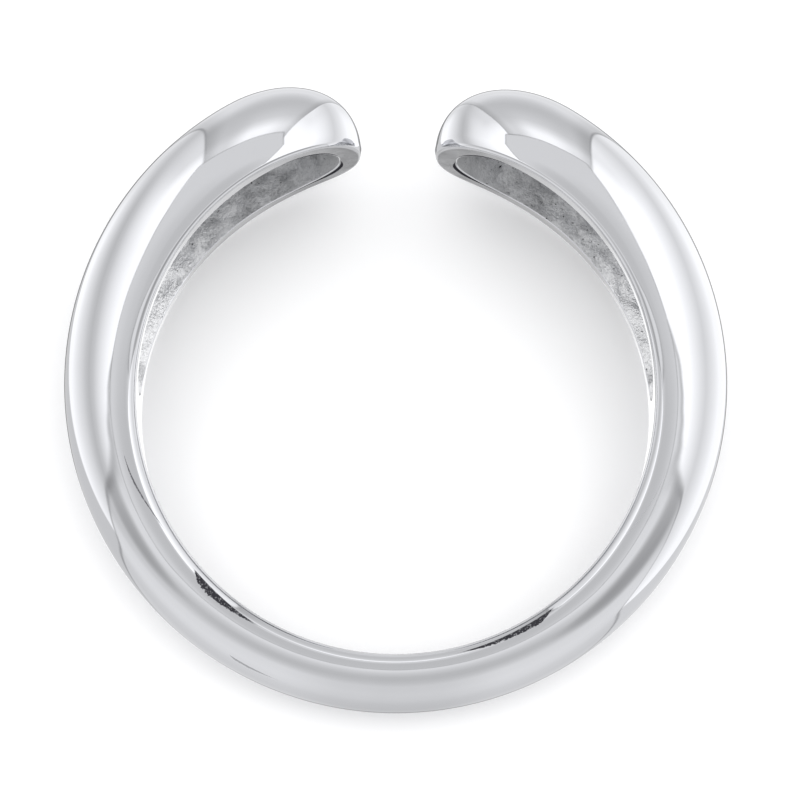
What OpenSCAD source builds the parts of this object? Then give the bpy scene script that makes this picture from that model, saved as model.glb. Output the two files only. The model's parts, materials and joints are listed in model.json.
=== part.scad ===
/* [Finger hole] */
// inside diameter of the ring
finger_d = 17.3; // [15:0.1:22]
// open gap between the two ends, measured at the finger wall
gap_w = 2.4; // [1.6:0.1:6]

/* [Back of the band] */
// width of the band along the finger, opposite the gap
back_w = 2.6; // [2.2:0.1:4]
// thickness from finger wall to crown, opposite the gap
back_t = 1.85; // [1.4:0.05:2.6]
// fullness of the dome there, 2 for half an ellipse and more for a squarer section
back_full = 2; // [2:0.1:3]

/* [Ends] */
// width that the band would have at the gap, unrounded
end_w = 6.1; // [5.8:0.1:7]
// thickness from finger wall to crown that the band would have at the gap, unrounded
end_t = 3.1; // [2.6:0.05:4]
// fullness of the dome there
end_full = 3.1; // [2:0.1:3.6]
// length of the rounding of each end seen from outside, along the finger wall
end_round_w = 8.7; // [6:0.1:9.5]
// fullness of that rounding, 2 for an ellipse and more for a squarer end
round_full_w = 3.3; // [2.6:0.1:4]
// length of the rounding of each end seen along the finger
end_round_t = 3.4; // [2.4:0.1:4.4]
// fullness of that rounding
round_full_t = 2.2; // [1.8:0.1:3]

/* [Taper from the ends to the back] */
// angle from the gap where the width and the fullness are half way down
width_mid = 80; // [70:1:90]
// how gradually they fall, as an angle
width_spread = 17; // [10:1:20]
// angle from the gap where the thickness is half way down
thick_mid = 96; // [76:1:110]
// how gradually the thickness falls, as an angle
thick_spread = 27; // [14:1:34]

/* [Hollows behind the ends] */
// solid metal between an end and its hollow, along the finger wall
tip_rim = 0.75; // [0.7:0.05:1.4]
// width of a hollow near the end
hollow_w = 4.2; // [3:0.1:4.3]
// width of a hollow where it runs out
hollow_w_far = 2.6; // [1.8:0.1:2.8]
// depth of a hollow near the end
hollow_d = 1.5; // [0.8:0.05:1.6]
// depth of a hollow where it runs out
hollow_d_far = 0.6; // [0.4:0.05:0.8]
// angle from the gap where a hollow runs out
hollow_to = 89; // [79:2:91]

/* [Edges] */
// softened edge between the finger wall and the dome, at the ends
end_edge = 0.2; // [0.1:0.01:0.26]
// softened edge between the finger wall and the dome, at the back
back_edge = 0.34; // [0.1:0.01:0.4]

/* [Drawing] */
// piece to draw

/* [Hidden] */

finger_r = finger_d / 2;
tip_a = asin(gap_w / 2 / finger_r);
// degrees of arc on the finger wall for each mm along it
deg_per_mm = 180 / PI / finger_r;
round_w_a = tip_a + end_round_w * deg_per_mm;
round_t_a = tip_a + end_round_t * deg_per_mm;
round_a = max(round_w_a, round_t_a);

// each hollow is cut straight in, along the direction half way between its ends
hollow_from = tip_a + tip_rim * deg_per_mm;
cut_a = (hollow_from + hollow_to) / 2;
cut_half = finger_r * sin((hollow_to - hollow_from) / 2);
// share of the way from its middle to its far end over which the mouth keeps its width
full_share = 0.3;
// its floor is part of a round wall off the centre of the ring, deepest at this angle
deep_a = 30;
floor_shift = (hollow_d - hollow_d_far) / (1 - cos(hollow_to - deep_a));
floor_r = finger_r + hollow_d - floor_shift;

// the ends draw in to a point this far outside the finger wall
tip_lift = 0.25;
// how far the unfinished band reaches into the finger hole before it is bored
bore_stock = 0.9;
// least scale of a section, so that the last one keeps some area
least = 0.06;

dome_steps = 26;
cap_steps = 18;
side_step = 4.2;

silver = [0.86, 0.86, 0.87];

// smooth step down at one angle and, past the back of the ring, up again on the other side
function step_down(a, mid, spread) =
    1 / (1 + exp((a - mid) / spread)) + 1 / (1 + exp((360 - a - mid) / spread));

// the same scaled to be 1 at the gap and 0 at the back
function fall(a, mid, spread) =
    let (gap = step_down(0, mid, spread), back = step_down(180, mid, spread))
    (step_down(a, mid, spread) - back) / (gap - back);

// rounded end from 0 at one angle to 1 at another
function rounding(a, from, to, fullness) =
    let (u = min(1, max(0, (to - a) / (to - from))))
    max(least, pow(1 - pow(u, fullness), 1 / fullness));
function narrowed(a) = rounding(a, tip_a, round_w_a, round_full_w);
function thinned(a) = rounding(a, tip_a, round_t_a, round_full_t);

// sine or cosine bent so that an ellipse becomes a fuller curve
function bent(v, fullness) = sign(v) * pow(abs(v), 2 / fullness);

function band_w(a) = back_w + (end_w - back_w) * fall(a, width_mid, width_spread);
function band_t(a) = back_t + (end_t - back_t) * fall(a, thick_mid, thick_spread);
function band_full(a) = back_full + (end_full - back_full) * fall(a, width_mid, width_spread);
function band_edge(a) = back_edge + (end_edge - back_edge) * fall(a, width_mid, width_spread);

// a point of a section at radius r and height z, at angle a from the gap
function at(r, z, a) = [r * sin(a), r * cos(a), z];

// outline of the unfinished band at angle a from the gap, as radius and height
function band_section(a) =
    let (
        w = band_w(a) / 2,
        t = band_t(a),
        edge = band_edge(a),
        full = band_full(a),
        // the edge slopes at 45 degrees and runs on past the finger wall
        past = edge / 2,
        in_z = w - edge - past
    )
    concat(
        [for (i = [0:dome_steps])
            let (s = -90 + 180 * i / dome_steps)
            [finger_r + edge + (t - edge) * bent(cos(s), full), w * bent(sin(s), full)]],
        [[finger_r - past, in_z], [finger_r - bore_stock, in_z],
         [finger_r - bore_stock, -in_z], [finger_r - past, -in_z]]
    );

// the same outline drawn in towards the tip, with the ends rounded both ways
function drawn_in(a) =
    let (kw = narrowed(a), kt = thinned(a), tip_r = finger_r + tip_lift)
    [for (p = band_section(a)) [tip_r + (p[0] - tip_r) * kt, p[1] * kw]];

// angles of the sections on one side, close together at the tip
cap_angles = [for (i = [0:cap_steps])
    tip_a + (round_a - tip_a) * (1 - cos(90 * i / cap_steps))];
side_count = ceil((180 - round_a) / side_step);
side_angles = concat(cap_angles,
    [for (i = [1:side_count]) round_a + (180 - round_a) * i / side_count]);
side_last = len(side_angles) - 1;
ring_angles = concat(side_angles,
    [for (i = [1:side_last]) 360 - side_angles[side_last - i]]);

function band_rings() = [for (a = ring_angles)
    let (near = a > 180 ? 360 - a : a)
    [for (p = drawn_in(near)) at(p[0], p[1], a)]];

// closed skin through a list of outlines with the same number of points
module skin(rings) {
    n = len(rings[0]);
    last = len(rings) - 1;
    points = [for (ring = rings) for (p = ring) p];
    sides = [for (i = [0:last - 1]) for (j = [0:n - 1])
        let (k = (j + 1) % n, a = i * n, b = a + n)
        each [[a + j, b + j, b + k], [a + j, b + k, a + k]]];
    first_cap = [for (j = [0:n - 1]) j];
    last_cap = [for (j = [n - 1:-1:0]) last * n + j];
    polyhedron(points = points, faces = concat(sides, [first_cap, last_cap]));
}

// lying on its side the band rests on both wide ends and on its back,
// which tips it by the steepest line from the back to a point of an end
rest_tilt = max([for (a = side_angles)
    let (low = band_w(a) / 2 * narrowed(a) - back_w / 2,
         far = (finger_r + back_edge) * (1 + cos(a)))
    far > finger_r ? atan(low / far) : 0]);

function tipped(p) = [
    p[0],
    p[1] * cos(rest_tilt) - p[2] * sin(rest_tilt),
    p[1] * sin(rest_tilt) + p[2] * cos(rest_tilt)
];
resting = [for (ring = band_rings()) for (p = ring) tipped(p)];
low_z = min([for (p = resting) p[2]]);
mid_y = (min([for (p = resting) p[1]]) + max([for (p = resting) p[1]])) / 2;

// mouth of a hollow seen along its cut, with the end of the ring to the left
module hollow_outline() {
    near = hollow_w / 2;
    far = hollow_w_far / 2;
    near_x = near - cut_half;
    far_x = cut_half - far;
    // the mouth keeps its width up to here
    full_x = cut_half * full_share;
    translate([near_x, 0]) circle(r = near, $fn = 64);
    polygon([[near_x, near], [full_x, near], [far_x, far],
             [far_x, -far], [full_x, -near], [near_x, -near]]);
    translate([far_x, 0]) circle(r = far, $fn = 64);
}

module hollow() {
    intersection() {
        rotate([0, 0, -cut_a])
            rotate([-90, 0, 0])
                linear_extrude(height = 2 * finger_r)
                    hollow_outline();
        translate([floor_shift * sin(deep_a), floor_shift * cos(deep_a), 0])
            cylinder(r = floor_r, h = 2 * end_w, center = true, $fn = 180);
    }
}

// finger hole with the two hollows that open off it, its round wall starting and ending in the gap
module finger_space() {
    rotate([0, 0, 90])
        cylinder(r = finger_r, h = 2 * end_w, center = true, $fn = 180);
    for (side = [0, 1])
        mirror([side, 0, 0]) hollow();
}

module band() {
    color(silver)
    translate([0, -mid_y, -low_z])
    rotate([rest_tilt, 0, 0])
    difference() {
        skin(band_rings());
        finger_space();
    }
}

band();
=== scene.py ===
"""Looks for an adjustable open ring: a polished silver band with hollows left as cast, on a pale floor."""

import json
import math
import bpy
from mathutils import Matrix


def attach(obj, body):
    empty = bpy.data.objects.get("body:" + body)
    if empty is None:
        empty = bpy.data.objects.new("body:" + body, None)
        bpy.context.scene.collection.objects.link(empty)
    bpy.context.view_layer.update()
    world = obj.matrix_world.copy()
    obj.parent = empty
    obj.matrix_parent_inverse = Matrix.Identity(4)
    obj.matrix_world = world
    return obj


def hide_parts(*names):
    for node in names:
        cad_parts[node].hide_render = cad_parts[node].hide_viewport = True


bl_info = {
    "name": "Open Ring",
    "version": (1, 0, 0),
    "blender": (4, 5, 0),
    "location": "View3D > Sidebar > Open Ring",
    "description": "Builds a polished open ring with hollows behind its ends, and a stage to show it on",
    "category": "Object",
}

from typing import NamedTuple

import bmesh
import bpy
from bpy.props import FloatProperty, FloatVectorProperty, PointerProperty
from mathutils import Matrix, Vector, noise

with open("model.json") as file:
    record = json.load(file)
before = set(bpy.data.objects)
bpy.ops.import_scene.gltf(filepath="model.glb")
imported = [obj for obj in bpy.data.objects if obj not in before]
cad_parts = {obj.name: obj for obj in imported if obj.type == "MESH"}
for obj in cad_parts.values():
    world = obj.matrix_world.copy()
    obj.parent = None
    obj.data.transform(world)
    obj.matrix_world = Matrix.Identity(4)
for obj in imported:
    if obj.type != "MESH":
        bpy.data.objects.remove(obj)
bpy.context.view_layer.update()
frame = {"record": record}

MM = 0.001
BACK = math.pi
finger_hole = next(m for m in frame["record"]["mounts"] if m["name"] == "finger_hole")
HOLE_CENTRE = Vector(finger_hole["pos_m"])
HOLE_AXIS = Vector(finger_hole["axis"]).normalized()
HOLE_R = finger_hole["dims"]["r_mm"] * MM
# the finger axis leans towards the back of the ring by this angle, because the ends are wider
LEAN = math.atan2(-HOLE_AXIS.y, HOLE_AXIS.z)


def length(name, description, default_mm):
    """A size in metres, given in millimetres."""
    return FloatProperty(
        name=name,
        description=description,
        default=default_mm * MM,
        min=0,
        precision=5,
        subtype="DISTANCE",
        unit="LENGTH",
    )


def angle(name, description, default_degrees):
    """An angle in radians, given in degrees."""
    default = math.radians(default_degrees)
    return FloatProperty(name=name, description=description, default=default, subtype="ANGLE")


def share(name, description, default, highest=1.0):
    """A plain number from 0 up."""
    return FloatProperty(name=name, description=description, default=default, min=0, max=highest)


def fullness(name, shape, default):
    """How full a rounded shape is."""
    return share(name, f"Fullness of {shape}: 2 for an ellipse, and more for a squarer one", default, 5)


def colour(name, description, default):
    """A linear colour."""
    return FloatVectorProperty(
        name=name, description=description, default=default, size=3, min=0, max=1, subtype="COLOR"
    )


class RingSizes(bpy.types.PropertyGroup):
    """Sizes of the band, the same as the solid's but with crisper edges and rounder tips at the ends."""

    gap_w: length("Gap", "Opening between the two ends, at the finger wall", 2.4)
    back_w: length("Back Width", "Width of the band opposite the gap", 2.6)
    back_t: length("Back Thickness", "Thickness of the band opposite the gap", 1.85)
    back_full: fullness("Back Fullness", "the dome opposite the gap", 2)
    end_w: length("End Width", "Width that the band would have at the gap if it weren't rounded", 6.1)
    end_t: length("End Thickness", "Thickness that it would have there", 3.1)
    end_full: fullness("End Fullness", "the dome at the gap", 3.1)
    end_round_w: length("End Rounding Across", "Length of the rounding of an end seen from outside", 8.7)
    round_full_w: fullness("Rounding Fullness Across", "that rounding", 3.3)
    end_round_t: length("End Rounding Through", "Length of the rounding of an end seen along the finger", 3.4)
    round_full_t: fullness("Rounding Fullness Through", "that rounding", 2.2)
    nose: length("Nose", "Length over which the very tip is rounder than both", 1.4)
    tip_lift: length("Tip Lift", "Height of the very tip above the finger wall", 0.25)
    width_mid: angle("Width Middle", "Angle from the gap where the width is half way down", 80)
    width_spread: angle("Width Spread", "How gradually the width falls", 17)
    thick_mid: angle("Thickness Middle", "Angle from the gap where the thickness is half way down", 96)
    thick_spread: angle("Thickness Spread", "How gradually the thickness falls", 27)
    end_edge: length("End Edge", "Softened edge of the finger wall at the ends", 0.13)
    back_edge: length("Back Edge", "Softened edge of the finger wall at the back", 0.34)


class HollowSizes(bpy.types.PropertyGroup):
    """Sizes of the hollow behind each end."""

    tip_rim: length("Tip Rim", "Solid metal between an end and its hollow", 0.75)
    near_w: length("Near Width", "Width of the mouth near the end of the ring", 4.2)
    far_w: length("Far Width", "Width of the mouth where the hollow runs out", 2.6)
    near_d: length("Near Depth", "Depth near the end of the ring", 1.5)
    far_d: length("Far Depth", "Depth where the hollow runs out", 0.6)
    deep_at: angle("Deepest At", "Angle from the gap where the hollow is deepest", 30)
    runs_out: angle("Runs Out At", "Angle from the gap where the hollow ends", 89)
    blunt: fullness("Bluntness", "the ends of the mouth", 2.2)
    lip: length("Lip", "Polished rounding of the mouth", 0.035)
    draft: length("Draft", "How far the walls lean in on their way to the floor", 0.12)
    corner: length("Corner", "Rounding between wall and floor", 0.38)
    lumps: length("Lumps", "Height of the unevenness of the cast surface", 0.045)
    lump_size: length("Lump Size", "Breadth of that unevenness", 0.55)


class Finish(bpy.types.PropertyGroup):
    """Colours and polish of the silver."""

    silver: colour("Silver", "Colour of the polished silver", (0.745, 0.752, 0.78))
    polish: share("Polish", "Roughness where the polish is best", 0.035)
    worn: colour("Worn Silver", "Colour of the finger wall, which gets less polish", (0.71, 0.716, 0.74))
    worn_polish: share("Worn Polish", "Roughness of the finger wall", 0.09)
    cast_light: colour("Cast Light", "Lighter tone inside the hollows", (0.7, 0.705, 0.72))
    # also painted shade: the hollows are tinted towards it beside the ends of the ring, where they are deep
    cast_dark_and_shade: colour("Cast Dark", "Darker tone inside the hollows", (0.36, 0.365, 0.375))
    # partly real polish and partly painted light: it is lighter than the polished silver
    rubbed_and_painted_light: colour("Rubbed", "Tone where the hollows run out and are polished too", (0.86, 0.865, 0.88))
    # also the colour of the painted shadow beside the mouth of each hollow
    dark_marks_and_shadow: colour("Tarnish", "Dark marks on the band, and specks inside the hollows", (0.03, 0.03, 0.035))


class StageLook(bpy.types.PropertyGroup):
    """Camera, floor and the tall white light tent round the ring."""

    camera_far: length("Camera Distance", "From the middle of the finger hole to the camera", 135)
    camera_lean: angle("Camera Lean", "Lean of the view from the finger axis, towards the ring's back", 11.5)
    camera_roll: angle("Camera Roll", "Turn of the camera about its own view", 0.6)
    camera_lens: length("Lens", "Focal length", 180.1)
    aim_right: length("Aim Right", "How far right of the finger hole's middle the camera aims", 0.15)
    aim_up: length("Aim Up", "How far above it the camera aims", 0.12)
    floor_colour: colour("Floor", "Colour of the floor", (0.93, 0.93, 0.935))
    backdrop: share("Backdrop", "Brightness seen past the floor", 0.88)
    tent_lean: angle("Tent Lean", "Lean of the tent from the vertical, towards the back", 4)
    top_aside: share("Top Across", "Half the width of the tent's top, for a height of 1", 0.315)
    top_shift: share("Top Shift", "How far left of the middle the top lies", 0.035)
    top_far: share("Top Far", "Depth of the top on the side of the gap", 0.55)
    top_near: share("Top Near", "Depth of the top on the other side", 0.17)
    tent_light: share("Tent Light", "Strength of the tent's light", 1.0, 10.0)
    lamp: share("Lamp", "Strength of the soft lamp over the floor", 1.7, 10.0)


def rounded(u, fullness):
    """Falls from 1 at u = 0 to 0 at u = 1 along a quarter of an ellipse, or a fuller curve."""
    u = min(1.0, max(0.0, u))
    return (1 - u**fullness) ** (1 / fullness)


def bent(v, fullness):
    """Bends a sine or cosine so that the ellipse drawn with it becomes a fuller curve."""
    return math.copysign(abs(v) ** (2 / fullness), v)


def eased(u):
    """Rises smoothly from 0 at u = 0 to 1 at u = 1."""
    u = min(1.0, max(0.0, u))
    return u * u * (3 - 2 * u)


def step_down(a, mid, spread):
    """1 at the gap and 0 past an angle, and up again on the other side of the ring."""
    return 1 / (1 + math.exp((a - mid) / spread)) + 1 / (1 + math.exp((2 * BACK - a - mid) / spread))


def fall(a, mid, spread):
    """The same, scaled to be just 1 at the gap and just 0 at the back."""
    gap, back = step_down(0, mid, spread), step_down(BACK, mid, spread)
    return (step_down(a, mid, spread) - back) / (gap - back)


# how far the finger wall starts behind the tip, in breadths of its soft edge, which rounds over to the tip
WALL_SETBACK = 1.3
NOSE_FULLNESS = 3


class BandForm:
    """Sections of the band by angle from the gap.

    The ring's own frame has its origin in the middle of the finger hole, Y to the gap and Z along the finger.
    """

    def __init__(self, sizes):
        self.sizes = sizes
        self.tip = math.asin(sizes.gap_w / 2 / HOLE_R)
        self.round_w = self.tip + sizes.end_round_w / HOLE_R
        self.round_t = self.tip + sizes.end_round_t / HOLE_R
        self.wall_tip = self.tip + WALL_SETBACK * sizes.end_edge / HOLE_R

    def width(self, a):
        s = self.sizes
        return s.back_w + (s.end_w - s.back_w) * fall(a, s.width_mid, s.width_spread)

    def thickness(self, a):
        s = self.sizes
        return s.back_t + (s.end_t - s.back_t) * fall(a, s.thick_mid, s.thick_spread)

    def fullness(self, a):
        s = self.sizes
        return s.back_full + (s.end_full - s.back_full) * fall(a, s.width_mid, s.width_spread)

    def edge(self, a):
        s = self.sizes
        return s.back_edge + (s.end_edge - s.back_edge) * fall(a, s.width_mid, s.width_spread)

    def outer_angle(self, a):
        """Angle on the dome that goes with an angle on the finger wall."""
        if a >= self.round_w:
            return a
        return self.round_w - (self.round_w - a) * (self.round_w - self.tip) / (self.round_w - self.wall_tip)

    def narrowed(self, a):
        """Share of the full width at an angle on the dome."""
        end = rounded((self.round_w - a) / (self.round_w - self.tip), self.sizes.round_full_w)
        nose = rounded(1 - (a - self.tip) * HOLE_R / self.sizes.nose, NOSE_FULLNESS)
        return end * math.sqrt(nose)

    def thinned(self, a):
        """Share of the full thickness at an angle on the dome."""
        return rounded((self.round_t - a) / (self.round_t - self.tip), self.sizes.round_full_t)

    def dome(self, a, turn):
        """Radius and height of the dome, at a turn of up to a quarter below or above its crown."""
        full = self.fullness(a)
        tip_r = HOLE_R + self.sizes.tip_lift
        edge = self.edge(a)
        r = HOLE_R + edge + (self.thickness(a) - edge) * bent(math.cos(turn), full)
        z = self.width(a) / 2 * bent(math.sin(turn), full) * self.narrowed(a)
        return tip_r + (r - tip_r) * self.thinned(a), z

    def wall_half(self, a):
        """Half the width of the finger wall at an angle on it."""
        return (self.width(a) / 2 - self.edge(a)) * self.narrowed(self.outer_angle(a))

    def at(self, r, z, a):
        return Vector((r * math.sin(a), r * math.cos(a), z))


class HollowForm:
    """The hollow behind the right-hand end. It is cut straight in, along one direction, to a round floor.

    In its plan x runs along the band, from the ring's end to the back, and z along the finger.
    """

    def __init__(self, sizes, band):
        self.sizes = sizes
        self.starts = band.tip + sizes.tip_rim / HOLE_R
        self.cut = (self.starts + sizes.runs_out) / 2
        self.half_length = HOLE_R * math.sin((sizes.runs_out - self.starts) / 2)
        self.near_x = sizes.near_w / 2 - self.half_length
        self.far_x = self.half_length - sizes.far_w / 2
        shift = (sizes.near_d - sizes.far_d) / (1 - math.cos(sizes.runs_out - sizes.deep_at))
        self.floor_r = HOLE_R + sizes.near_d - shift
        self.floor_x = shift * math.sin(sizes.deep_at - self.cut)
        self.floor_y = shift * math.cos(sizes.deep_at - self.cut)
        self.inwards = Vector((math.sin(self.cut), math.cos(self.cut), 0))
        self.along = Vector((math.cos(self.cut), -math.sin(self.cut), 0))

    def x_at(self, a):
        return HOLE_R * math.sin(a - self.cut)

    def half_width(self, x):
        """Half the width of the mouth at a place along it."""
        s = self.sizes
        narrows_from, narrows_over = 0.1 * self.half_length, 0.95 * self.half_length
        narrowing = eased((x - narrows_from) / narrows_over)
        half = s.near_w / 2 + (s.far_w / 2 - s.near_w / 2) * narrowing
        near = rounded((self.near_x - x) / (s.near_w / 2), s.blunt)
        far = rounded((x - self.far_x) / (s.far_w / 2), s.blunt)
        return half * near * far

    def mouth(self, x):
        """Distance along the cut from the finger axis to the finger wall."""
        return math.sqrt(HOLE_R**2 - x * x)

    def floor(self, x):
        """Distance along the cut from the finger axis to the hollow's floor."""
        return self.floor_y + math.sqrt(self.floor_r**2 - (x - self.floor_x) ** 2)

    def at(self, x, z, distance):
        return self.inwards * distance + self.along * x + Vector((0, 0, z))


def spaced(start, end, count, crowd_start, crowd_end):
    """Angles from start up to, but not including, end."""
    out = []
    for i in range(count):
        u = i / count
        if crowd_start and crowd_end:
            u = (1 - math.cos(math.pi * u)) / 2
        elif crowd_start:
            u = 1 - math.cos(math.pi / 2 * u)
        elif crowd_end:
            u = math.sin(math.pi / 2 * u)
        out.append(start + (end - start) * u)
    return out


class Sheet:
    """Collects rows of points as four-sided faces in one mesh."""

    def __init__(self):
        self.mesh = bmesh.new()
        self.rough = self.mesh.verts.layers.float.new("rough")

    def add(self, rows, finish, roughness=None):
        """Adds rows of equally many points. roughness gives each row's share of the cast unevenness."""
        roughness = roughness or [0.0] * len(rows)
        made = []
        for row, rough in zip(rows, roughness):
            verts = [self.mesh.verts.new(p) for p in row]
            for v in verts:
                v[self.rough] = rough
            made.append(verts)
        for one, two in zip(made, made[1:]):
            for i in range(len(one) - 1):
                face = self.mesh.faces.new((one[i], one[i + 1], two[i + 1], two[i]))
                face.material_index = finish
                face.smooth = True


POLISHED, AS_CAST, WORN = 0, 1, 2
DOME_STEPS, EDGE_STEPS, WALL_STEPS = 84, 8, 7
EDGE_TURN = math.radians(70)
LIP_STEPS, SIDE_STEPS, CORNER_STEPS, FLOOR_STEPS = 5, 10, 6, 16
# points nearer than this are one
WELD = 2e-8


def half_turn(steps):
    """Angles from a quarter turn below to a quarter turn above."""
    return [math.pi * (i / steps - 0.5) for i in range(steps + 1)]


def quarter_turn(steps):
    return [math.pi / 2 * i / steps for i in range(steps + 1)]


def wall_angles(band, hollow):
    """Angles of the sections on one side, crowded where the tip and the ends of the hollow turn sharply."""
    starts, runs_out = hollow.starts, hollow.sizes.runs_out
    near_end = starts + math.radians(12)
    far_end = runs_out - math.radians(9)
    # start and end of each stretch, its number of sections, and whether they crowd at its start and its end
    stretches = (
        (band.wall_tip, starts, 18, True, True),
        (starts, near_end, 20, True, False),
        (near_end, far_end, 80, False, False),
        (far_end, runs_out, 14, False, True),
        (runs_out, BACK, 74, False, False),
    )
    return [a for stretch in stretches for a in spaced(*stretch)] + [BACK]


def add_dome(sheet, band, angles):
    rows = []
    for a in angles:
        outer = band.outer_angle(a)
        rows.append([band.at(*band.dome(outer, turn), outer) for turn in half_turn(DOME_STEPS)])
    sheet.add(rows, POLISHED)


def add_edges(sheet, band, angles):
    """The soft edge from the finger wall round to the dome, on both sides of the band."""
    for side in (-1, 1):
        rows = []
        for a in angles:
            outer = band.outer_angle(a)
            edge_r, edge_z = band.dome(outer, math.pi / 2)
            wall_z = band.wall_half(a)
            row = []
            for i in range(EDGE_STEPS + 1):
                # the rounding stops short of level, so a crisp crease parts it from the dome
                turn = EDGE_TURN * i / EDGE_STEPS
                out = (1 - math.cos(turn)) / (1 - math.cos(EDGE_TURN))
                up = math.sin(turn) / math.sin(EDGE_TURN)
                r = HOLE_R + (edge_r - HOLE_R) * out
                z = wall_z + (edge_z - wall_z) * up
                row.append(band.at(r, side * z, a + (outer - a) * up))
            rows.append(row)
        half = EDGE_STEPS // 2
        sheet.add([row[: half + 1] for row in rows], WORN)
        sheet.add([row[half:] for row in rows], POLISHED)


def add_wall(sheet, band, hollow, angles):
    """The finger wall, from each edge to the hollow's mouth or to the middle of the band."""
    for side in (-1, 1):
        rows = []
        for a in angles:
            inner = 0.0
            if hollow.starts < a < hollow.sizes.runs_out:
                inner = hollow.half_width(hollow.x_at(a))
            outer = band.wall_half(a)
            steps = [i / WALL_STEPS for i in range(WALL_STEPS + 1)]
            rows.append([band.at(HOLE_R, side * (outer + (inner - outer) * u), a) for u in steps])
        sheet.add(rows, WORN)


def mouth_outline(hollow, angles):
    """Points (x, z) round the mouth, and for each the direction into the hollow."""
    inside = [a for a in angles if hollow.starts <= a <= hollow.sizes.runs_out]
    upper = [Vector((hollow.x_at(a), hollow.half_width(hollow.x_at(a)))) for a in inside]
    upper[0].y = upper[-1].y = 0.0
    lower = [Vector((p.x, -p.y)) for p in reversed(upper[1:-1])]
    points = upper + lower
    inwards = []
    for i, p in enumerate(points):
        run = (points[(i + 1) % len(points)] - points[i - 1]).normalized()
        inwards.append(Vector((run.y, -run.x)))
    return points, inwards


def add_hollow(sheet, hollow, angles):
    """Polished lip, and walls, corner and floor left as cast, as rings from the mouth to the middle line."""
    s = hollow.sizes
    points, inwards = mouth_outline(hollow, angles)

    def ring(inset, depth):
        row = []
        for p, into in zip(points, inwards):
            q = p + into * inset
            row.append(hollow.at(q.x, q.y, hollow.mouth(q.x) + depth(hollow.floor(q.x) - hollow.mouth(q.x))))
        return row + row[:1]

    lip, sides, corner, floor = [], [], [], []
    for t in quarter_turn(LIP_STEPS):
        lip.append(ring(s.lip * math.sin(t), lambda full, t=t: s.lip * (1 - math.cos(t))))
    for i in range(SIDE_STEPS + 1):
        u = i / SIDE_STEPS
        sides.append(ring(s.lip + s.draft * u, lambda full, u=u: s.lip + (full - s.corner - s.lip) * u))
    for t in quarter_turn(CORNER_STEPS):
        inset = s.lip + s.draft + s.corner * (1 - math.cos(t))
        corner.append(ring(inset, lambda full, t=t: full - s.corner * (1 - math.sin(t))))
    inset = s.lip + s.draft + s.corner
    for i in range(FLOOR_STEPS + 1):
        row = []
        for p, into in zip(points, inwards):
            q = p + into * inset
            middle = Vector((min(max(q.x, hollow.near_x), hollow.far_x), 0))
            q = q.lerp(middle, i / FLOOR_STEPS)
            row.append(hollow.at(q.x, q.y, hollow.floor(q.x)))
        floor.append(row + row[:1])
    sheet.add(lip, POLISHED)
    # the unevenness comes in over the top third of the walls
    sheet.add(sides, AS_CAST, [min(1.0, 3 * i / SIDE_STEPS) for i in range(SIDE_STEPS + 1)])
    sheet.add(corner, AS_CAST, [1.0] * len(corner))
    sheet.add(floor, AS_CAST, [1.0] * len(floor))


def roughen(mesh, layer, hollow):
    """Moves the cast surface in and out by smooth noise."""
    s = hollow.sizes
    increment, lacunarity, octaves = 0.9, 2.1, 4
    mesh.normal_update()
    for v in mesh.verts:
        if v[layer] > 0:
            lump = noise.fractal(v.co / s.lump_size, increment, lacunarity, octaves)
            v.co += v.normal * (lump * s.lumps * v[layer])


def band_mesh(band, hollow):
    """The whole skin of the ring, in the ring's own frame."""
    sheet = Sheet()
    angles = wall_angles(band, hollow)
    add_dome(sheet, band, angles)
    add_edges(sheet, band, angles)
    add_wall(sheet, band, hollow, angles)
    add_hollow(sheet, hollow, angles)
    mesh = sheet.mesh
    bmesh.ops.mirror(mesh, geom=mesh.verts[:] + mesh.edges[:] + mesh.faces[:], axis="X", merge_dist=-1)
    bmesh.ops.remove_doubles(mesh, verts=mesh.verts, dist=WELD)
    bmesh.ops.dissolve_degenerate(mesh, dist=WELD, edges=mesh.edges)
    bmesh.ops.recalc_face_normals(mesh, faces=mesh.faces)
    roughen(mesh, sheet.rough, hollow)
    return mesh


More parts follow.
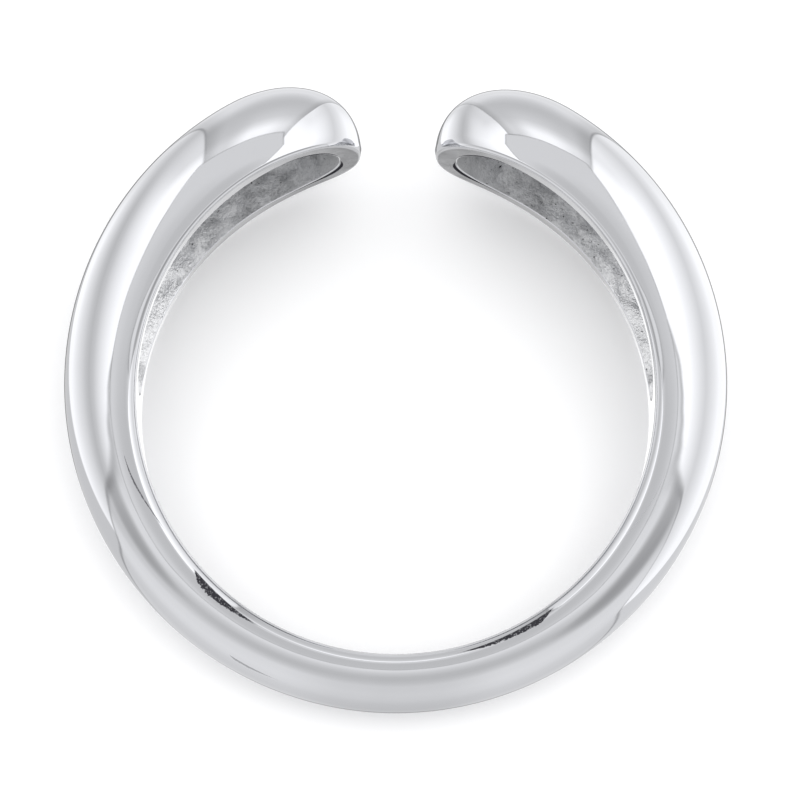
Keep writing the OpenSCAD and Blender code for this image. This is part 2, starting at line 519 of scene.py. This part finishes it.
class Wiring:
    """Short ways to add nodes to one tree and join them."""

    # places of the factor and the two values among the sockets of a Mix node, for numbers and for colours
    MIX_NUMBERS = (0, 2, 3)
    MIX_COLOURS = (0, 6, 7)

    def __init__(self, tree):
        self.tree = tree

    def node(self, kind, **settings):
        node = self.tree.nodes.new(kind)
        for name, value in settings.items():
            setattr(node, name, value)
        return node

    def feed(self, socket, value):
        """Joins a socket to an output, or sets it to a constant."""
        if isinstance(value, bpy.types.NodeSocket):
            self.tree.links.new(value, socket)
        else:
            socket.default_value = value

    def math(self, operation, *values):
        node = self.node("ShaderNodeMath", operation=operation)
        for socket, value in zip(node.inputs, values):
            self.feed(socket, value)
        return node.outputs[0]

    def split(self, vector):
        """The three numbers of a vector."""
        node = self.node("ShaderNodeSeparateXYZ")
        self.feed(node.inputs[0], vector)
        return node.outputs

    def between(self, value, start, end, to_start=0.0, to_end=1.0):
        """Goes smoothly from one number to another while a value goes from start to end."""
        node = self.node("ShaderNodeMapRange", interpolation_type="SMOOTHSTEP")
        for name, number in (("Value", value), ("From Min", start), ("From Max", end)):
            self.feed(node.inputs[name], number)
        self.feed(node.inputs["To Min"], to_start)
        self.feed(node.inputs["To Max"], to_end)
        return node.outputs["Result"]

    def total(self, *parts):
        """Sum of (factor, value) pairs."""
        out = 0.0
        for factor, value in parts:
            out = self.math("MULTIPLY_ADD", value, factor, out)
        return out

    def mix(self, share, one, two):
        """A number between two others."""
        node = self.node("ShaderNodeMix", data_type="FLOAT")
        for place, value in zip(self.MIX_NUMBERS, (share, one, two)):
            self.feed(node.inputs[place], value)
        return node.outputs[0]

    def tint(self, share, one, two):
        """A colour between two others."""
        node = self.node("ShaderNodeMix", data_type="RGBA")
        factor, *ends = (node.inputs[place] for place in self.MIX_COLOURS)
        self.feed(factor, share)
        for socket, value in zip(ends, (one, two)):
            self.feed(socket, value if isinstance(value, bpy.types.NodeSocket) else (*value, 1))
        return node.outputs[2]

    def ramp(self, place, stops):
        """A grey or colour by place, from (place, grey) or (place, colour) stops."""
        node = self.node("ShaderNodeValToRGB")
        bar = node.color_ramp
        while len(bar.elements) < len(stops):
            bar.elements.new(1.0)
        for element, (position, value) in zip(bar.elements, sorted(stops)):
            element.position = position
            element.color = (*value, 1) if isinstance(value, tuple) else (value, value, value, 1)
        self.feed(node.inputs["Fac"], place)
        return node.outputs["Color"]

    def noise(self, where, size, detail, rough):
        """Smooth noise from 0 to 1, with lumps of a size in metres."""
        node = self.node("ShaderNodeTexNoise")
        self.feed(node.inputs["Vector"], where)
        for name, value in (("Scale", 1 / size), ("Detail", detail), ("Roughness", rough)):
            self.feed(node.inputs[name], value)
        return node.outputs[0]

    def bump(self, height, strength, depth, normal=None):
        """A normal from heights from 0 to 1, with a depth in metres."""
        node = self.node("ShaderNodeBump")
        for name, value in (("Height", height), ("Strength", strength), ("Distance", depth)):
            self.feed(node.inputs[name], value)
        if normal:
            self.feed(node.inputs["Normal"], normal)
        return node.outputs["Normal"]


def new_material(name, base, metallic, roughness):
    """A material with its shader's constants set, the wiring for the rest, and the place on the object."""
    material = bpy.data.materials.new(name)
    material.use_nodes = True
    shader = material.node_tree.nodes["Principled BSDF"]
    shader.inputs["Base Color"].default_value = (*base, 1)
    shader.inputs["Metallic"].default_value = metallic
    shader.inputs["Roughness"].default_value = roughness
    wiring = Wiring(material.node_tree)
    return material, shader, wiring, wiring.node("ShaderNodeTexCoord").outputs["Object"]


def dimmed(colour, factor):
    """A colour made darker by a factor."""
    return tuple(factor * part for part in colour)


def ring_place(wiring, where):
    """Angle from the gap to the right, distance from the finger axis, and height along it.

    The angle is in radians and the others are in metres.
    """
    turned = wiring.node("ShaderNodeMapping", vector_type="TEXTURE")
    wiring.feed(turned.inputs["Vector"], where)
    turned.inputs["Location"].default_value = HOLE_CENTRE
    turned.inputs["Rotation"].default_value = (LEAN, 0, 0)
    x, y, z = wiring.split(turned.outputs["Vector"])
    squares = [wiring.math("MULTIPLY", part, part) for part in (x, y)]
    return wiring.math("ARCTAN2", x, y), wiring.math("SQRT", wiring.math("ADD", *squares)), z


class Mark(NamedTuple):
    """A dark mark that runs along the rim of the finger wall, or on the dome."""

    # where it tails off, is widest and ends, in degrees from the gap and to the right
    tail: float
    widest: float
    head: float
    # distance of its inner edge from the finger wall at its tail and head, and its breadth, in mm
    tail_out: float
    head_out: float
    breadth: float
    # softness of its edges, in mm, and how dark it is
    soft: float
    dark: float


MARKS = [
    Mark(-154, -136, -131, 0.34, 0.24, 0.25, 0.02, 1.0),
    Mark(171, 148, 142, 0.25, 0.2, 0.19, 0.02, 1.0),
    Mark(-124, -110, -101, 0.25, 0.62, 0.06, 0.012, 0.9),
    Mark(128, 113, 104, 0.28, 0.7, 0.03, 0.012, 0.4),
    Mark(-160, -150, -147.5, 1.61, 1.61, 0.05, 0.012, 0.6),
]


def dark_marks(wiring, where):
    """1 on the dark marks of the polished silver, on the side of the camera."""
    turn, out, along = ring_place(wiring, where)
    ragged = wiring.math("SUBTRACT", wiring.noise(where, 0.14 * MM, detail=4, rough=0.7), 0.5)
    raggedness = 1.3
    marks = 0.0
    for mark in MARKS:
        tail, widest, head = (math.radians(a) for a in (mark.tail, mark.widest, mark.head))
        swell = [wiring.between(turn, end, widest) for end in (tail, head)]
        swell = wiring.math("MULTIPLY", *swell)
        inner = wiring.between(turn, tail, head, HOLE_R + mark.tail_out * MM, HOLE_R + mark.head_out * MM)
        reach = wiring.math("SUBTRACT", out, inner)
        breadth, soft = mark.breadth * MM, mark.soft * MM
        broad = wiring.math("MULTIPLY_ADD", ragged, raggedness * breadth, breadth)
        broad = wiring.math("MULTIPLY", swell, broad)
        inside = wiring.between(wiring.math("SUBTRACT", broad, reach), 0.0, soft)
        inside = wiring.math("MULTIPLY", inside, wiring.between(reach, -soft, 0.0))
        inside = wiring.math("MULTIPLY", inside, wiring.between(swell, 0.0, 0.3, 0.0, mark.dark))
        marks = wiring.math("MAXIMUM", marks, inside)
    hairs = wiring.between(wiring.noise(where, 0.06 * MM, detail=2, rough=0.6), 0.34, 0.46, 0.72, 1.0)
    marks = wiring.math("MULTIPLY", marks, hairs)
    return wiring.math("MULTIPLY", marks, wiring.between(along, 0.0, 0.3 * MM))


def hollow_shadow(wiring, where, hollow):
    """1 on the painted shadow, a black crescent beside the mouth of each hollow, at its near end and away
    from the camera.
    """
    breadth, soft = 0.15 * MM, 0.02 * MM
    half_width = hollow.sizes.near_w / 2
    turn, _, along = ring_place(wiring, where)
    # place on the finger wall from the middle of the mouth's round end: towards the tip, and downwards
    middle = HOLE_R * hollow.starts + half_width
    before = wiring.math("MULTIPLY_ADD", wiring.math("ABSOLUTE", turn), -HOLE_R, middle)
    below = wiring.math("MULTIPLY", along, -1.0)
    direction = wiring.math("ARCTAN2", below, before)
    swell = [wiring.between(direction, *fade) for fade in ((-0.1, 0.4), (1.15, 0.6))]
    swell = wiring.math("MULTIPLY", *swell)
    blunt = hollow.sizes.blunt
    powers = [wiring.math("POWER", wiring.math("ABSOLUTE", part), blunt) for part in (before, below)]
    outside = wiring.math("POWER", wiring.math("ADD", *powers), 1 / blunt)
    outside = wiring.math("SUBTRACT", outside, half_width)
    inside = wiring.math("SUBTRACT", wiring.math("MULTIPLY", swell, breadth), outside)
    return wiring.between(inside, 0.0, soft)


def dull(wiring, shader, marks):
    """Takes the shine off the dark marks and the painted shadow."""
    wiring.feed(shader.inputs["Metallic"], wiring.math("SUBTRACT", 1.0, marks))
    shader.inputs["Specular IOR Level"].default_value = 0


def hairlines(wiring, where):
    """1 on fine scratches that run in all directions, as a polishing cloth leaves them."""
    stretch = (1, 1, 0.02)
    hairs = 0.0
    for turn in (0.3, 1.4, 2.5):
        slanted = wiring.node("ShaderNodeMapping")
        wiring.feed(slanted.inputs["Vector"], where)
        slanted.inputs["Rotation"].default_value = (turn, 0.7 * turn, 1.9 * turn)
        slanted.inputs["Scale"].default_value = stretch
        strands = wiring.noise(slanted.outputs["Vector"], 0.05 * MM, detail=1, rough=0.4)
        hairs = wiring.math("MAXIMUM", hairs, wiring.between(strands, 0.72, 0.8))
    return hairs


def polished_silver(look):
    """Mirror polish: faint cloudy patches, a few hairline scratches, slight waves and some dark marks."""
    material, shader, wiring, where = new_material("polished_silver", look.silver, 1, look.polish)
    clouds = wiring.noise(where, 2.2 * MM, detail=4, rough=0.6)
    shown = wiring.math("MULTIPLY", hairlines(wiring, where), wiring.between(clouds, 0.5, 0.62))
    cloudy = wiring.between(clouds, 0.3, 0.75, look.polish, look.polish + 0.035)
    marks = dark_marks(wiring, where)
    wiring.feed(shader.inputs["Roughness"], wiring.total((0.06, shown), (0.4, marks), (1.0, cloudy)))
    waves = wiring.noise(where, 1.6 * MM, detail=1, rough=0.4)
    normal = wiring.bump(waves, strength=1, depth=0.004 * MM)
    grain = wiring.noise(where, 0.12 * MM, detail=3, rough=0.6)
    normal = wiring.bump(grain, 1, 0.00003 * MM, normal)
    wiring.feed(shader.inputs["Normal"], wiring.bump(shown, 1, 0.00012 * MM, normal))
    stain = wiring.between(wiring.noise(where, 3.1 * MM, detail=3, rough=0.55), 0.45, 0.8)
    tone = wiring.tint(wiring.math("MULTIPLY", stain, 0.35), look.silver, dimmed(look.silver, 0.93))
    wiring.feed(shader.inputs["Base Color"], wiring.tint(marks, tone, look.dark_marks_and_shadow))
    dull(wiring, shader, marks)
    return material


def worn_silver(look, hollow):
    """Duller silver of the finger wall, satin and faintly cloudy, with painted shade low down and a painted
    shadow beside each hollow's mouth.
    """
    material, shader, wiring, where = new_material("worn_silver", look.worn, 1, look.worn_polish)
    clouds = wiring.noise(where, 1.3 * MM, detail=4, rough=0.6)
    cloudy = wiring.between(clouds, 0.3, 0.75, look.worn_polish, look.worn_polish + 0.12)
    wiring.feed(shader.inputs["Roughness"], cloudy)
    shade = wiring.ramp(clouds, [(0.3, dimmed(look.worn, 0.82)), (0.7, tuple(look.worn))])
    # painted shade: the lowest silver is tinted greyer, a painted reflection of the table under the ring,
    # which lies in its shadow
    _, _, along = ring_place(wiring, where)
    low = wiring.between(along, -1.3 * MM, -2.8 * MM)
    shade = wiring.tint(low, shade, dimmed(look.worn, 0.45))
    # painted shadow: the black crescent beside each hollow's mouth, tinted dark and with its shine taken off
    marks = hollow_shadow(wiring, where, hollow)
    wiring.feed(shader.inputs["Base Color"], wiring.tint(marks, shade, look.dark_marks_and_shadow))
    dull(wiring, shader, marks)
    waves = wiring.noise(where, 0.9 * MM, detail=1, rough=0.4)
    normal = wiring.bump(waves, strength=1, depth=0.008 * MM)
    grain = wiring.noise(where, 0.07 * MM, detail=3, rough=0.65)
    wiring.feed(shader.inputs["Normal"], wiring.bump(grain, 0.6, 0.002 * MM, normal))
    return material


def cast_silver(look):
    """Silver as it comes from the mould: grainy and mottled, with black specks, painted shade where it is
    deep, and rubbed and painted lighter where shallow.
    """
    material, shader, wiring, where = new_material("cast_silver", look.cast_light, 1, 0.5)
    turn, _, _ = ring_place(wiring, where)
    turn = wiring.math("ABSOLUTE", turn)
    mottle = wiring.noise(where, 0.65 * MM, detail=4, rough=0.6)
    grain = wiring.noise(where, 0.1 * MM, detail=3, rough=0.7)
    facets = wiring.node("ShaderNodeTexVoronoi", feature="F1")
    wiring.feed(facets.inputs["Vector"], where)
    facets.inputs["Scale"].default_value = 1 / (0.34 * MM)
    tone = wiring.total((0.56, mottle), (0.32, grain), (0.12, facets.outputs["Color"]))
    shade = wiring.ramp(tone, [(0.4, tuple(look.cast_dark_and_shade)), (0.6, tuple(look.cast_light))])
    # painted shade: it is darkest beside the ends of the ring, where it is deep; where it runs out it is
    # brightest, partly painted light
    painted_deep_shade = wiring.between(turn, math.radians(12), math.radians(30), 0.9, 0.0)
    shade = wiring.tint(painted_deep_shade, shade, look.cast_dark_and_shade)
    # where it runs out it is rubbed smoother, and its colour is painted lighter than the polished silver,
    # with glints: painted light
    rubbed_and_painted_light = wiring.math("MULTIPLY_ADD", wiring.math("SUBTRACT", mottle, 0.5), 0.5, turn)
    rubbed_and_painted_light = wiring.between(rubbed_and_painted_light, math.radians(27), math.radians(66))
    painted_gleam = wiring.math("MULTIPLY", rubbed_and_painted_light, wiring.between(grain, 0.38, 0.58, 0.55, 1.0))
    shade = wiring.tint(painted_gleam, shade, look.rubbed_and_painted_light)
    # the specks come in swarms
    specks = wiring.between(wiring.noise(where, 0.13 * MM, detail=2, rough=0.6), 0.66, 0.7)
    swarms = wiring.between(wiring.noise(where, 0.7 * MM, detail=1, rough=0.5), 0.47, 0.6)
    specks = wiring.math("MULTIPLY", specks, swarms)
    wiring.feed(shader.inputs["Base Color"], wiring.tint(specks, shade, look.dark_marks_and_shadow))
    satin = wiring.between(mottle, 0.3, 0.7, 0.32, 0.5)
    wiring.feed(shader.inputs["Roughness"], wiring.mix(rubbed_and_painted_light, satin, 0.26))
    normal = wiring.bump(grain, wiring.mix(rubbed_and_painted_light, 0.9, 0.8), 0.03 * MM)
    wiring.feed(shader.inputs["Normal"], wiring.bump(specks, -0.8, 0.03 * MM, normal))
    return material


def floor_paper(look):
    """Smooth pale paper with the faintest tooth."""
    material, shader, wiring, where = new_material("floor_paper", look.floor_colour, 0, 0.7)
    shader.inputs["Specular IOR Level"].default_value = 0.2
    tooth = wiring.noise(where, 0.25 * MM, detail=3, rough=0.6)
    wiring.feed(shader.inputs["Normal"], wiring.bump(tooth, strength=0.3, depth=0.01 * MM))
    return material


# how bright the tent's far and near walls are by height: 0 is straight down, 0.5 is level, 1 is straight up
FAR_WALL = [
    (0.0, 1.1), (0.25, 1.02), (0.325, 0.96), (0.4, 0.99), (0.47, 0.86), (0.535, 0.745), (0.6, 0.68),
    (0.65, 0.69), (0.7, 0.745), (0.75, 0.83), (0.778, 1.0), (0.81, 1.3), (0.85, 1.34),
]
NEAR_WALL = [
    (0.0, 0.75), (0.25, 0.68), (0.4, 0.72), (0.5, 0.79), (0.6, 0.82), (0.725, 0.79), (0.775, 0.69),
    (0.82, 0.635), (0.855, 0.65), (0.9, 0.78), (0.93, 0.92),
]
# and the table straight below, from half a radian on the near side to as far on the side of the gap
BELOW = [
    (0.06, 0.31), (0.1, 0.38), (0.14, 0.54), (0.19, 0.66), (0.27, 0.8), (0.36, 0.84), (0.61, 0.84),
    (0.69, 1.17), (0.73, 1.36),
]


class TentSide(NamedTuple):
    """A side wall of the tent, its corners and the table beside it."""

    # how bright it is by height, as above, and how far its up direction leans to the far wall
    shades: list
    lean: float
    # its even tone in the far corner, and the share of its shades that is left there
    plain: float
    left_over: float
    # how bright the table is beside it, and how the edge between them slants
    table: float
    slant: float
    # how far back its near corner lies low down, for each unit to the side
    near_corner: float
    # middle of a dull patch beside that corner, and cosines of the angles at which it starts and is full
    patch: tuple
    patch_start: float
    patch_full: float


LEFT_SIDE = TentSide(
    shades=[
        (0.0, 1.3), (0.435, 1.3), (0.51, 1.08), (0.588, 0.87), (0.63, 0.73), (0.668, 0.645), (0.71, 0.735),
        (0.765, 1.0), (0.825, 1.27), (0.86, 1.4),
    ],
    lean=math.radians(30),
    plain=0.75,
    left_over=0.35,
    table=0.73,
    slant=-0.4,
    near_corner=0.45,
    patch=(0.64, -0.23, 0.73),
    patch_start=0.965,
    patch_full=0.998,
)
RIGHT_SIDE = TentSide(
    shades=[
        (0.0, 1.35), (0.425, 1.3), (0.51, 1.115), (0.597, 0.95), (0.64, 0.875), (0.684, 0.97), (0.728, 1.094),
        (0.773, 1.236), (0.815, 1.4),
    ],
    lean=math.radians(15),
    plain=0.88,
    left_over=0.5,
    table=0.83,
    slant=-1.0,
    near_corner=0.8,
    patch=(0.62, -0.33, 0.71),
    patch_start=0.95,
    patch_full=0.995,
)


class LightTent:
    """A tent of white cloth round the ring: four walls, a greyer top and a pale table, painted by direction.

    A direction has a length of 1, with x to the right, y to the side of the gap and z up.
    """

    # softness of the seams between walls and round the top, and strength of the thin shadow along them
    SEAM = 0.02
    TOP_SEAM = 0.011
    SEAM_SHADOW = 1.8

    # fades: the numbers where a smooth change starts and ends, and its values there if they aren't 0 and 1
    FAR_TO_LEFT = (-0.06, -0.36, 1.0, 0.35)
    FAR_TO_RIGHT = (0.1, 0.45, 1.0, 0.6)
    FAR_PLAIN_BY_HEIGHT = (0.35, -0.2, 0.68, 0.95)
    FAR_HEM = (0.7, 1.0, 1.0, 0.78)
    SIDE_TO_CORNER = (0.6, 1.3)
    SIDE_CORNER_BY_HEIGHT = (0.86, 0.66)
    SIDE_TO_TABLE = (-0.03, 0.03)
    NEAR_TO_SIDE = (0.15, 0.5)
    NEAR_BRIGHTER_BY_HEIGHT = (0.85, 0.6, 0.0, 0.14)
    NEAR_CORNER_BY_HEIGHT = (0.6, -0.1)
    TOP_BY_HEIGHT = (0.95, 0.999, 0.84, 0.67)
    TO_BELOW = (-0.9, -0.985)
    GAP_OUTER = (0.88, 0.9)
    GAP_INNER = (0.97, 0.955)
    GAP_FAR_SIDE = (0.05, 0.16)

    PATCH_DARK = 0.62
    TABLE_SLOPE = -1.3
    # how far back the near corners lie high up, for each unit to the side
    NEAR_CORNER_HIGH = 0.31
    # y and z of the direction straight away from the camera
    AWAY = (0.23, -0.97)
    # how dark the gap round the table is
    GAP_DARK = 0.4

    def __init__(self, look, wiring):
        self.look = look
        self.wiring = wiring
        # slope of the far corners, as the part to the side for each unit to the far side
        self.far_corner = look.top_aside / look.top_far
        turned = wiring.node("ShaderNodeMapping")
        turned.inputs["Rotation"].default_value = (-look.tent_lean, 0, 0)
        wiring.feed(turned.inputs["Vector"], wiring.node("ShaderNodeTexCoord").outputs["Generated"])
        self.x, self.y, self.z = wiring.split(turned.outputs["Vector"])
        self.aside = wiring.math("ABSOLUTE", self.x)
        self.back = wiring.math("MULTIPLY", self.y, -1.0)
        self.is_right = self.past(self.x, 0.0)

    def past(self, one, two, softness=SEAM):
        """1 where one number is over another, with a thin soft seam."""
        return self.wiring.between(self.wiring.math("SUBTRACT", one, two), -softness, softness)

    def sewn(self, one, two, share):
        """One part of the tent next to another, with a thin shadow along the seam."""
        seam = self.wiring.math("MULTIPLY", share, self.wiring.math("SUBTRACT", share, 1.0))
        shadow = self.wiring.math("MULTIPLY_ADD", seam, self.SEAM_SHADOW, 1.0)
        return self.wiring.math("MULTIPLY", self.wiring.mix(share, one, two), shadow)

    def by_side(self, of_side):
        """A value worked out for each side wall, on that side."""
        return self.wiring.mix(self.is_right, of_side(LEFT_SIDE), of_side(RIGHT_SIDE))

    def slope(self, one, two):
        """One number for each unit of another, which counts as just over 0 where it is less."""
        return self.wiring.math("DIVIDE", one, self.wiring.math("MAXIMUM", two, 0.001))

    def shades(self, stops, outwards, lean=0.0):
        """Brightness by height against one wall, with its up direction leaning towards the far wall."""
        up = self.wiring.total((math.cos(lean), self.z), (math.sin(lean), self.y))
        turn = self.wiring.math("ARCTAN2", up, outwards)
        return self.wiring.ramp(self.wiring.math("MULTIPLY_ADD", turn, 1 / math.pi, 0.5), stops)

    def far_wall(self):
        """It is more even towards its corners, and in shade along them."""
        wiring = self.wiring
        across = self.slope(self.x, self.y)
        uneven = [wiring.between(across, *fade) for fade in (self.FAR_TO_LEFT, self.FAR_TO_RIGHT)]
        plain = wiring.between(self.z, *self.FAR_PLAIN_BY_HEIGHT)
        wall = wiring.mix(wiring.math("MULTIPLY", *uneven), plain, self.shades(FAR_WALL, self.y))
        to_corner = wiring.math("MULTIPLY", wiring.math("ABSOLUTE", across), 1 / self.far_corner)
        return wiring.math("MULTIPLY", wall, wiring.between(to_corner, *self.FAR_HEM))

    def side_walls(self):
        """They are more even towards the far corners, and end on the table along slanting edges."""
        wiring = self.wiring
        corner = wiring.between(self.slope(self.y, self.aside), *self.SIDE_TO_CORNER)
        corner = wiring.math("MULTIPLY", corner, wiring.between(self.z, *self.SIDE_CORNER_BY_HEIGHT))

        def wall(side):
            uneven = wiring.mix(corner, 1.0, side.left_over)
            return wiring.mix(uneven, side.plain, self.shades(side.shades, self.aside, side.lean))

        slant = self.by_side(lambda side: side.slant)
        table_edge = wiring.total((-1.0, self.z), (self.TABLE_SLOPE, self.y), (slant, self.aside))
        is_table = wiring.between(table_edge, *self.SIDE_TO_TABLE)
        return wiring.mix(is_table, self.by_side(wall), self.by_side(lambda side: side.table))

    def near_wall(self):
        """It is brighter towards its sides, and has a dull patch beside each corner."""
        wiring = self.wiring

        def patch(side):
            nearness = wiring.total(*zip(side.patch, (self.aside, self.y, self.z)))
            return wiring.between(nearness, side.patch_start, side.patch_full, 1.0, self.PATCH_DARK)

        wall = wiring.math("MULTIPLY", self.shades(NEAR_WALL, self.back), self.by_side(patch))
        to_side = wiring.between(self.slope(self.aside, self.back), *self.NEAR_TO_SIDE)
        brighter = wiring.math("MULTIPLY", to_side, wiring.between(self.z, *self.NEAR_BRIGHTER_BY_HEIGHT))
        return wiring.math("MULTIPLY_ADD", wall, brighter, wall)

    def walls(self):
        wiring = self.wiring
        far_edge = wiring.math("MULTIPLY", self.aside, 1 / self.far_corner)
        walls = self.sewn(self.side_walls(), self.far_wall(), self.past(self.y, far_edge))
        low_corner = self.by_side(lambda side: side.near_corner)
        corner = wiring.between(self.z, *self.NEAR_CORNER_BY_HEIGHT, self.NEAR_CORNER_HIGH, low_corner)
        near_edge = wiring.math("MULTIPLY", self.aside, corner)
        return self.sewn(walls, self.near_wall(), self.past(self.back, near_edge))

    def is_top(self):
        """1 on the top, an oblong that lies a little left of the middle."""
        look = self.look
        left, right = look.top_aside + look.top_shift, look.top_aside - look.top_shift
        half = self.wiring.mix(self.is_right, left, right)
        share = 1.0
        for reach, outwards in ((half, self.aside), (look.top_far, self.y), (look.top_near, self.back)):
            edge = self.wiring.math("MULTIPLY", self.z, reach)
            share = self.wiring.math("MULTIPLY", share, self.past(edge, outwards, self.TOP_SEAM))
        return share

    def brightness(self):
        wiring = self.wiring
        tent = self.sewn(self.walls(), wiring.between(self.z, *self.TOP_BY_HEIGHT), self.is_top())
        # straight down the table is white on the side of the gap and dull on the other
        below = wiring.ramp(wiring.math("MULTIPLY_ADD", self.y, 2.0, 0.5), BELOW)
        tent = wiring.mix(wiring.between(self.z, *self.TO_BELOW), tent, below)
        # a dark gap runs round the table on that side, and draws a thin line along the outline of the ring
        nearness = wiring.total(*zip(self.AWAY, (self.y, self.z)))
        gap = [wiring.between(nearness, *fade) for fade in (self.GAP_INNER, self.GAP_OUTER)]
        gap = wiring.math("MULTIPLY", *gap)
        gap = wiring.math("MULTIPLY", gap, wiring.between(self.y, *self.GAP_FAR_SIDE))
        light = self.look.tent_light
        return wiring.math("MULTIPLY", tent, wiring.between(gap, 0.0, 1.0, light, self.GAP_DARK * light))


def paint_world(look, world):
    """The light tent for the light and the mirrored surroundings, and a plain backdrop for the camera."""
    wiring = Wiring(world.node_tree)
    is_camera = wiring.node("ShaderNodeLightPath").outputs["Is Camera Ray"]
    seen = wiring.mix(is_camera, LightTent(look, wiring).brightness(), look.backdrop)
    wiring.feed(world.node_tree.nodes["Background"].inputs["Color"], seen)


class OPENRING_OT_band(bpy.types.Operator):
    """Build the ring's band in place of the plain solid"""

    bl_idname = "open_ring.band"
    bl_label = "Build Band"

    def execute(self, context):
        band = BandForm(context.scene.open_ring_sizes)
        hollow = HollowForm(context.scene.open_ring_hollow, band)
        mesh = band_mesh(band, hollow)
        mesh.transform(Matrix.Translation(HOLE_CENTRE) @ Matrix.Rotation(LEAN, 4, "X"))
        data = bpy.data.meshes.new("ring_band")
        mesh.to_mesh(data)
        mesh.free()
        data.materials.append(polished_silver(context.scene.open_ring_finish))
        data.materials.append(cast_silver(context.scene.open_ring_finish))
        data.materials.append(worn_silver(context.scene.open_ring_finish, hollow))
        ring = bpy.data.objects.new("ring_band", data)
        context.scene.collection.objects.link(ring)
        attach(ring, "root")
        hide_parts("band")
        return {"FINISHED"}


class OPENRING_OT_stage(bpy.types.Operator):
    """Build the floor, the light and the camera"""

    bl_idname = "open_ring.stage"
    bl_label = "Build Stage"

    def execute(self, context):
        look = context.scene.open_ring_stage
        self.add_camera(context, look)
        data = bpy.data.meshes.new("floor")
        half = 1.5
        corners = [(-half, -half, 0), (half, -half, 0), (half, half, 0), (-half, half, 0)]
        data.from_pydata(corners, [], [(0, 1, 2, 3)])
        data.materials.append(floor_paper(look))
        floor = bpy.data.objects.new("floor", data)
        # polished silver mirrors the table of the tent, which is whiter under the ring than paper can be
        floor.visible_glossy = False
        floor.visible_shadow = False
        context.scene.collection.objects.link(floor)
        self.add_lamp(context, look)
        world = bpy.data.worlds.new("light_tent")
        context.scene.world = world
        world.use_nodes = True
        paint_world(look, world)
        context.scene.view_settings.view_transform = "Standard"
        return {"FINISHED"}

    def add_lamp(self, context, look):
        """A wide soft lamp overhead that brightens the floor and isn't mirrored in the ring."""
        data = bpy.data.lights.new("overhead", "SUN")
        data.energy = look.lamp
        data.angle = math.radians(140)
        lamp = bpy.data.objects.new("overhead", data)
        lamp.location = (0, 0, 0.3)
        lamp.visible_glossy = False
        context.scene.collection.objects.link(lamp)

    def add_camera(self, context, look):
        """A camera that looks down at the ring, nearly along the finger, with the gap on the far side."""
        lean = LEAN + look.camera_lean
        towards = Vector((0, -math.sin(lean), math.cos(lean)))
        up = Vector((0, math.cos(lean), math.sin(lean)))
        right = Vector((1, 0, 0))
        place = HOLE_CENTRE + towards * look.camera_far
        aim = HOLE_CENTRE + right * look.aim_right + up * look.aim_up
        back = (place - aim).normalized()
        side = up.cross(back).normalized()
        turned = Matrix((side, back.cross(side), back)).transposed().to_4x4()
        data = bpy.data.cameras.new("camera")
        data.sensor_width = 36
        data.lens = look.camera_lens / MM
        data.clip_start, data.clip_end = 0.01, 10
        camera = bpy.data.objects.new("camera", data)
        camera.matrix_world = Matrix.Translation(place) @ turned @ Matrix.Rotation(look.camera_roll, 4, "Z")
        context.scene.collection.objects.link(camera)
        context.scene.camera = camera


class OPENRING_PT_panel(bpy.types.Panel):
    """Sizes of the ring and its stage, and the buttons that build them"""

    bl_idname = "OPENRING_PT_panel"
    bl_label = "Open Ring"
    bl_space_type = "VIEW_3D"
    bl_region_type = "UI"
    bl_category = "Open Ring"

    def draw(self, context):
        scene = context.scene
        for group, operator in (
            (scene.open_ring_sizes, None),
            (scene.open_ring_hollow, None),
            (scene.open_ring_finish, OPENRING_OT_band),
            (scene.open_ring_stage, OPENRING_OT_stage),
        ):
            column = self.layout.column(align=True)
            for name in group.bl_rna.properties.keys():
                if name not in ("rna_type", "name"):
                    column.prop(group, name)
            if operator:
                self.layout.operator(operator.bl_idname)


CLASSES = (RingSizes, HollowSizes, Finish, StageLook, OPENRING_OT_band, OPENRING_OT_stage, OPENRING_PT_panel)
GROUPS = {
    "open_ring_sizes": RingSizes,
    "open_ring_hollow": HollowSizes,
    "open_ring_finish": Finish,
    "open_ring_stage": StageLook,
}


def register():
    for cls in CLASSES:
        bpy.utils.register_class(cls)
    for name, group in GROUPS.items():
        setattr(bpy.types.Scene, name, PointerProperty(type=group))


def unregister():
    for name in GROUPS:
        delattr(bpy.types.Scene, name)
    for cls in reversed(CLASSES):
        bpy.utils.unregister_class(cls)


def main():
    register()
    bpy.ops.open_ring.band()
    bpy.ops.open_ring.stage()


if __name__ == "__main__":
    main()
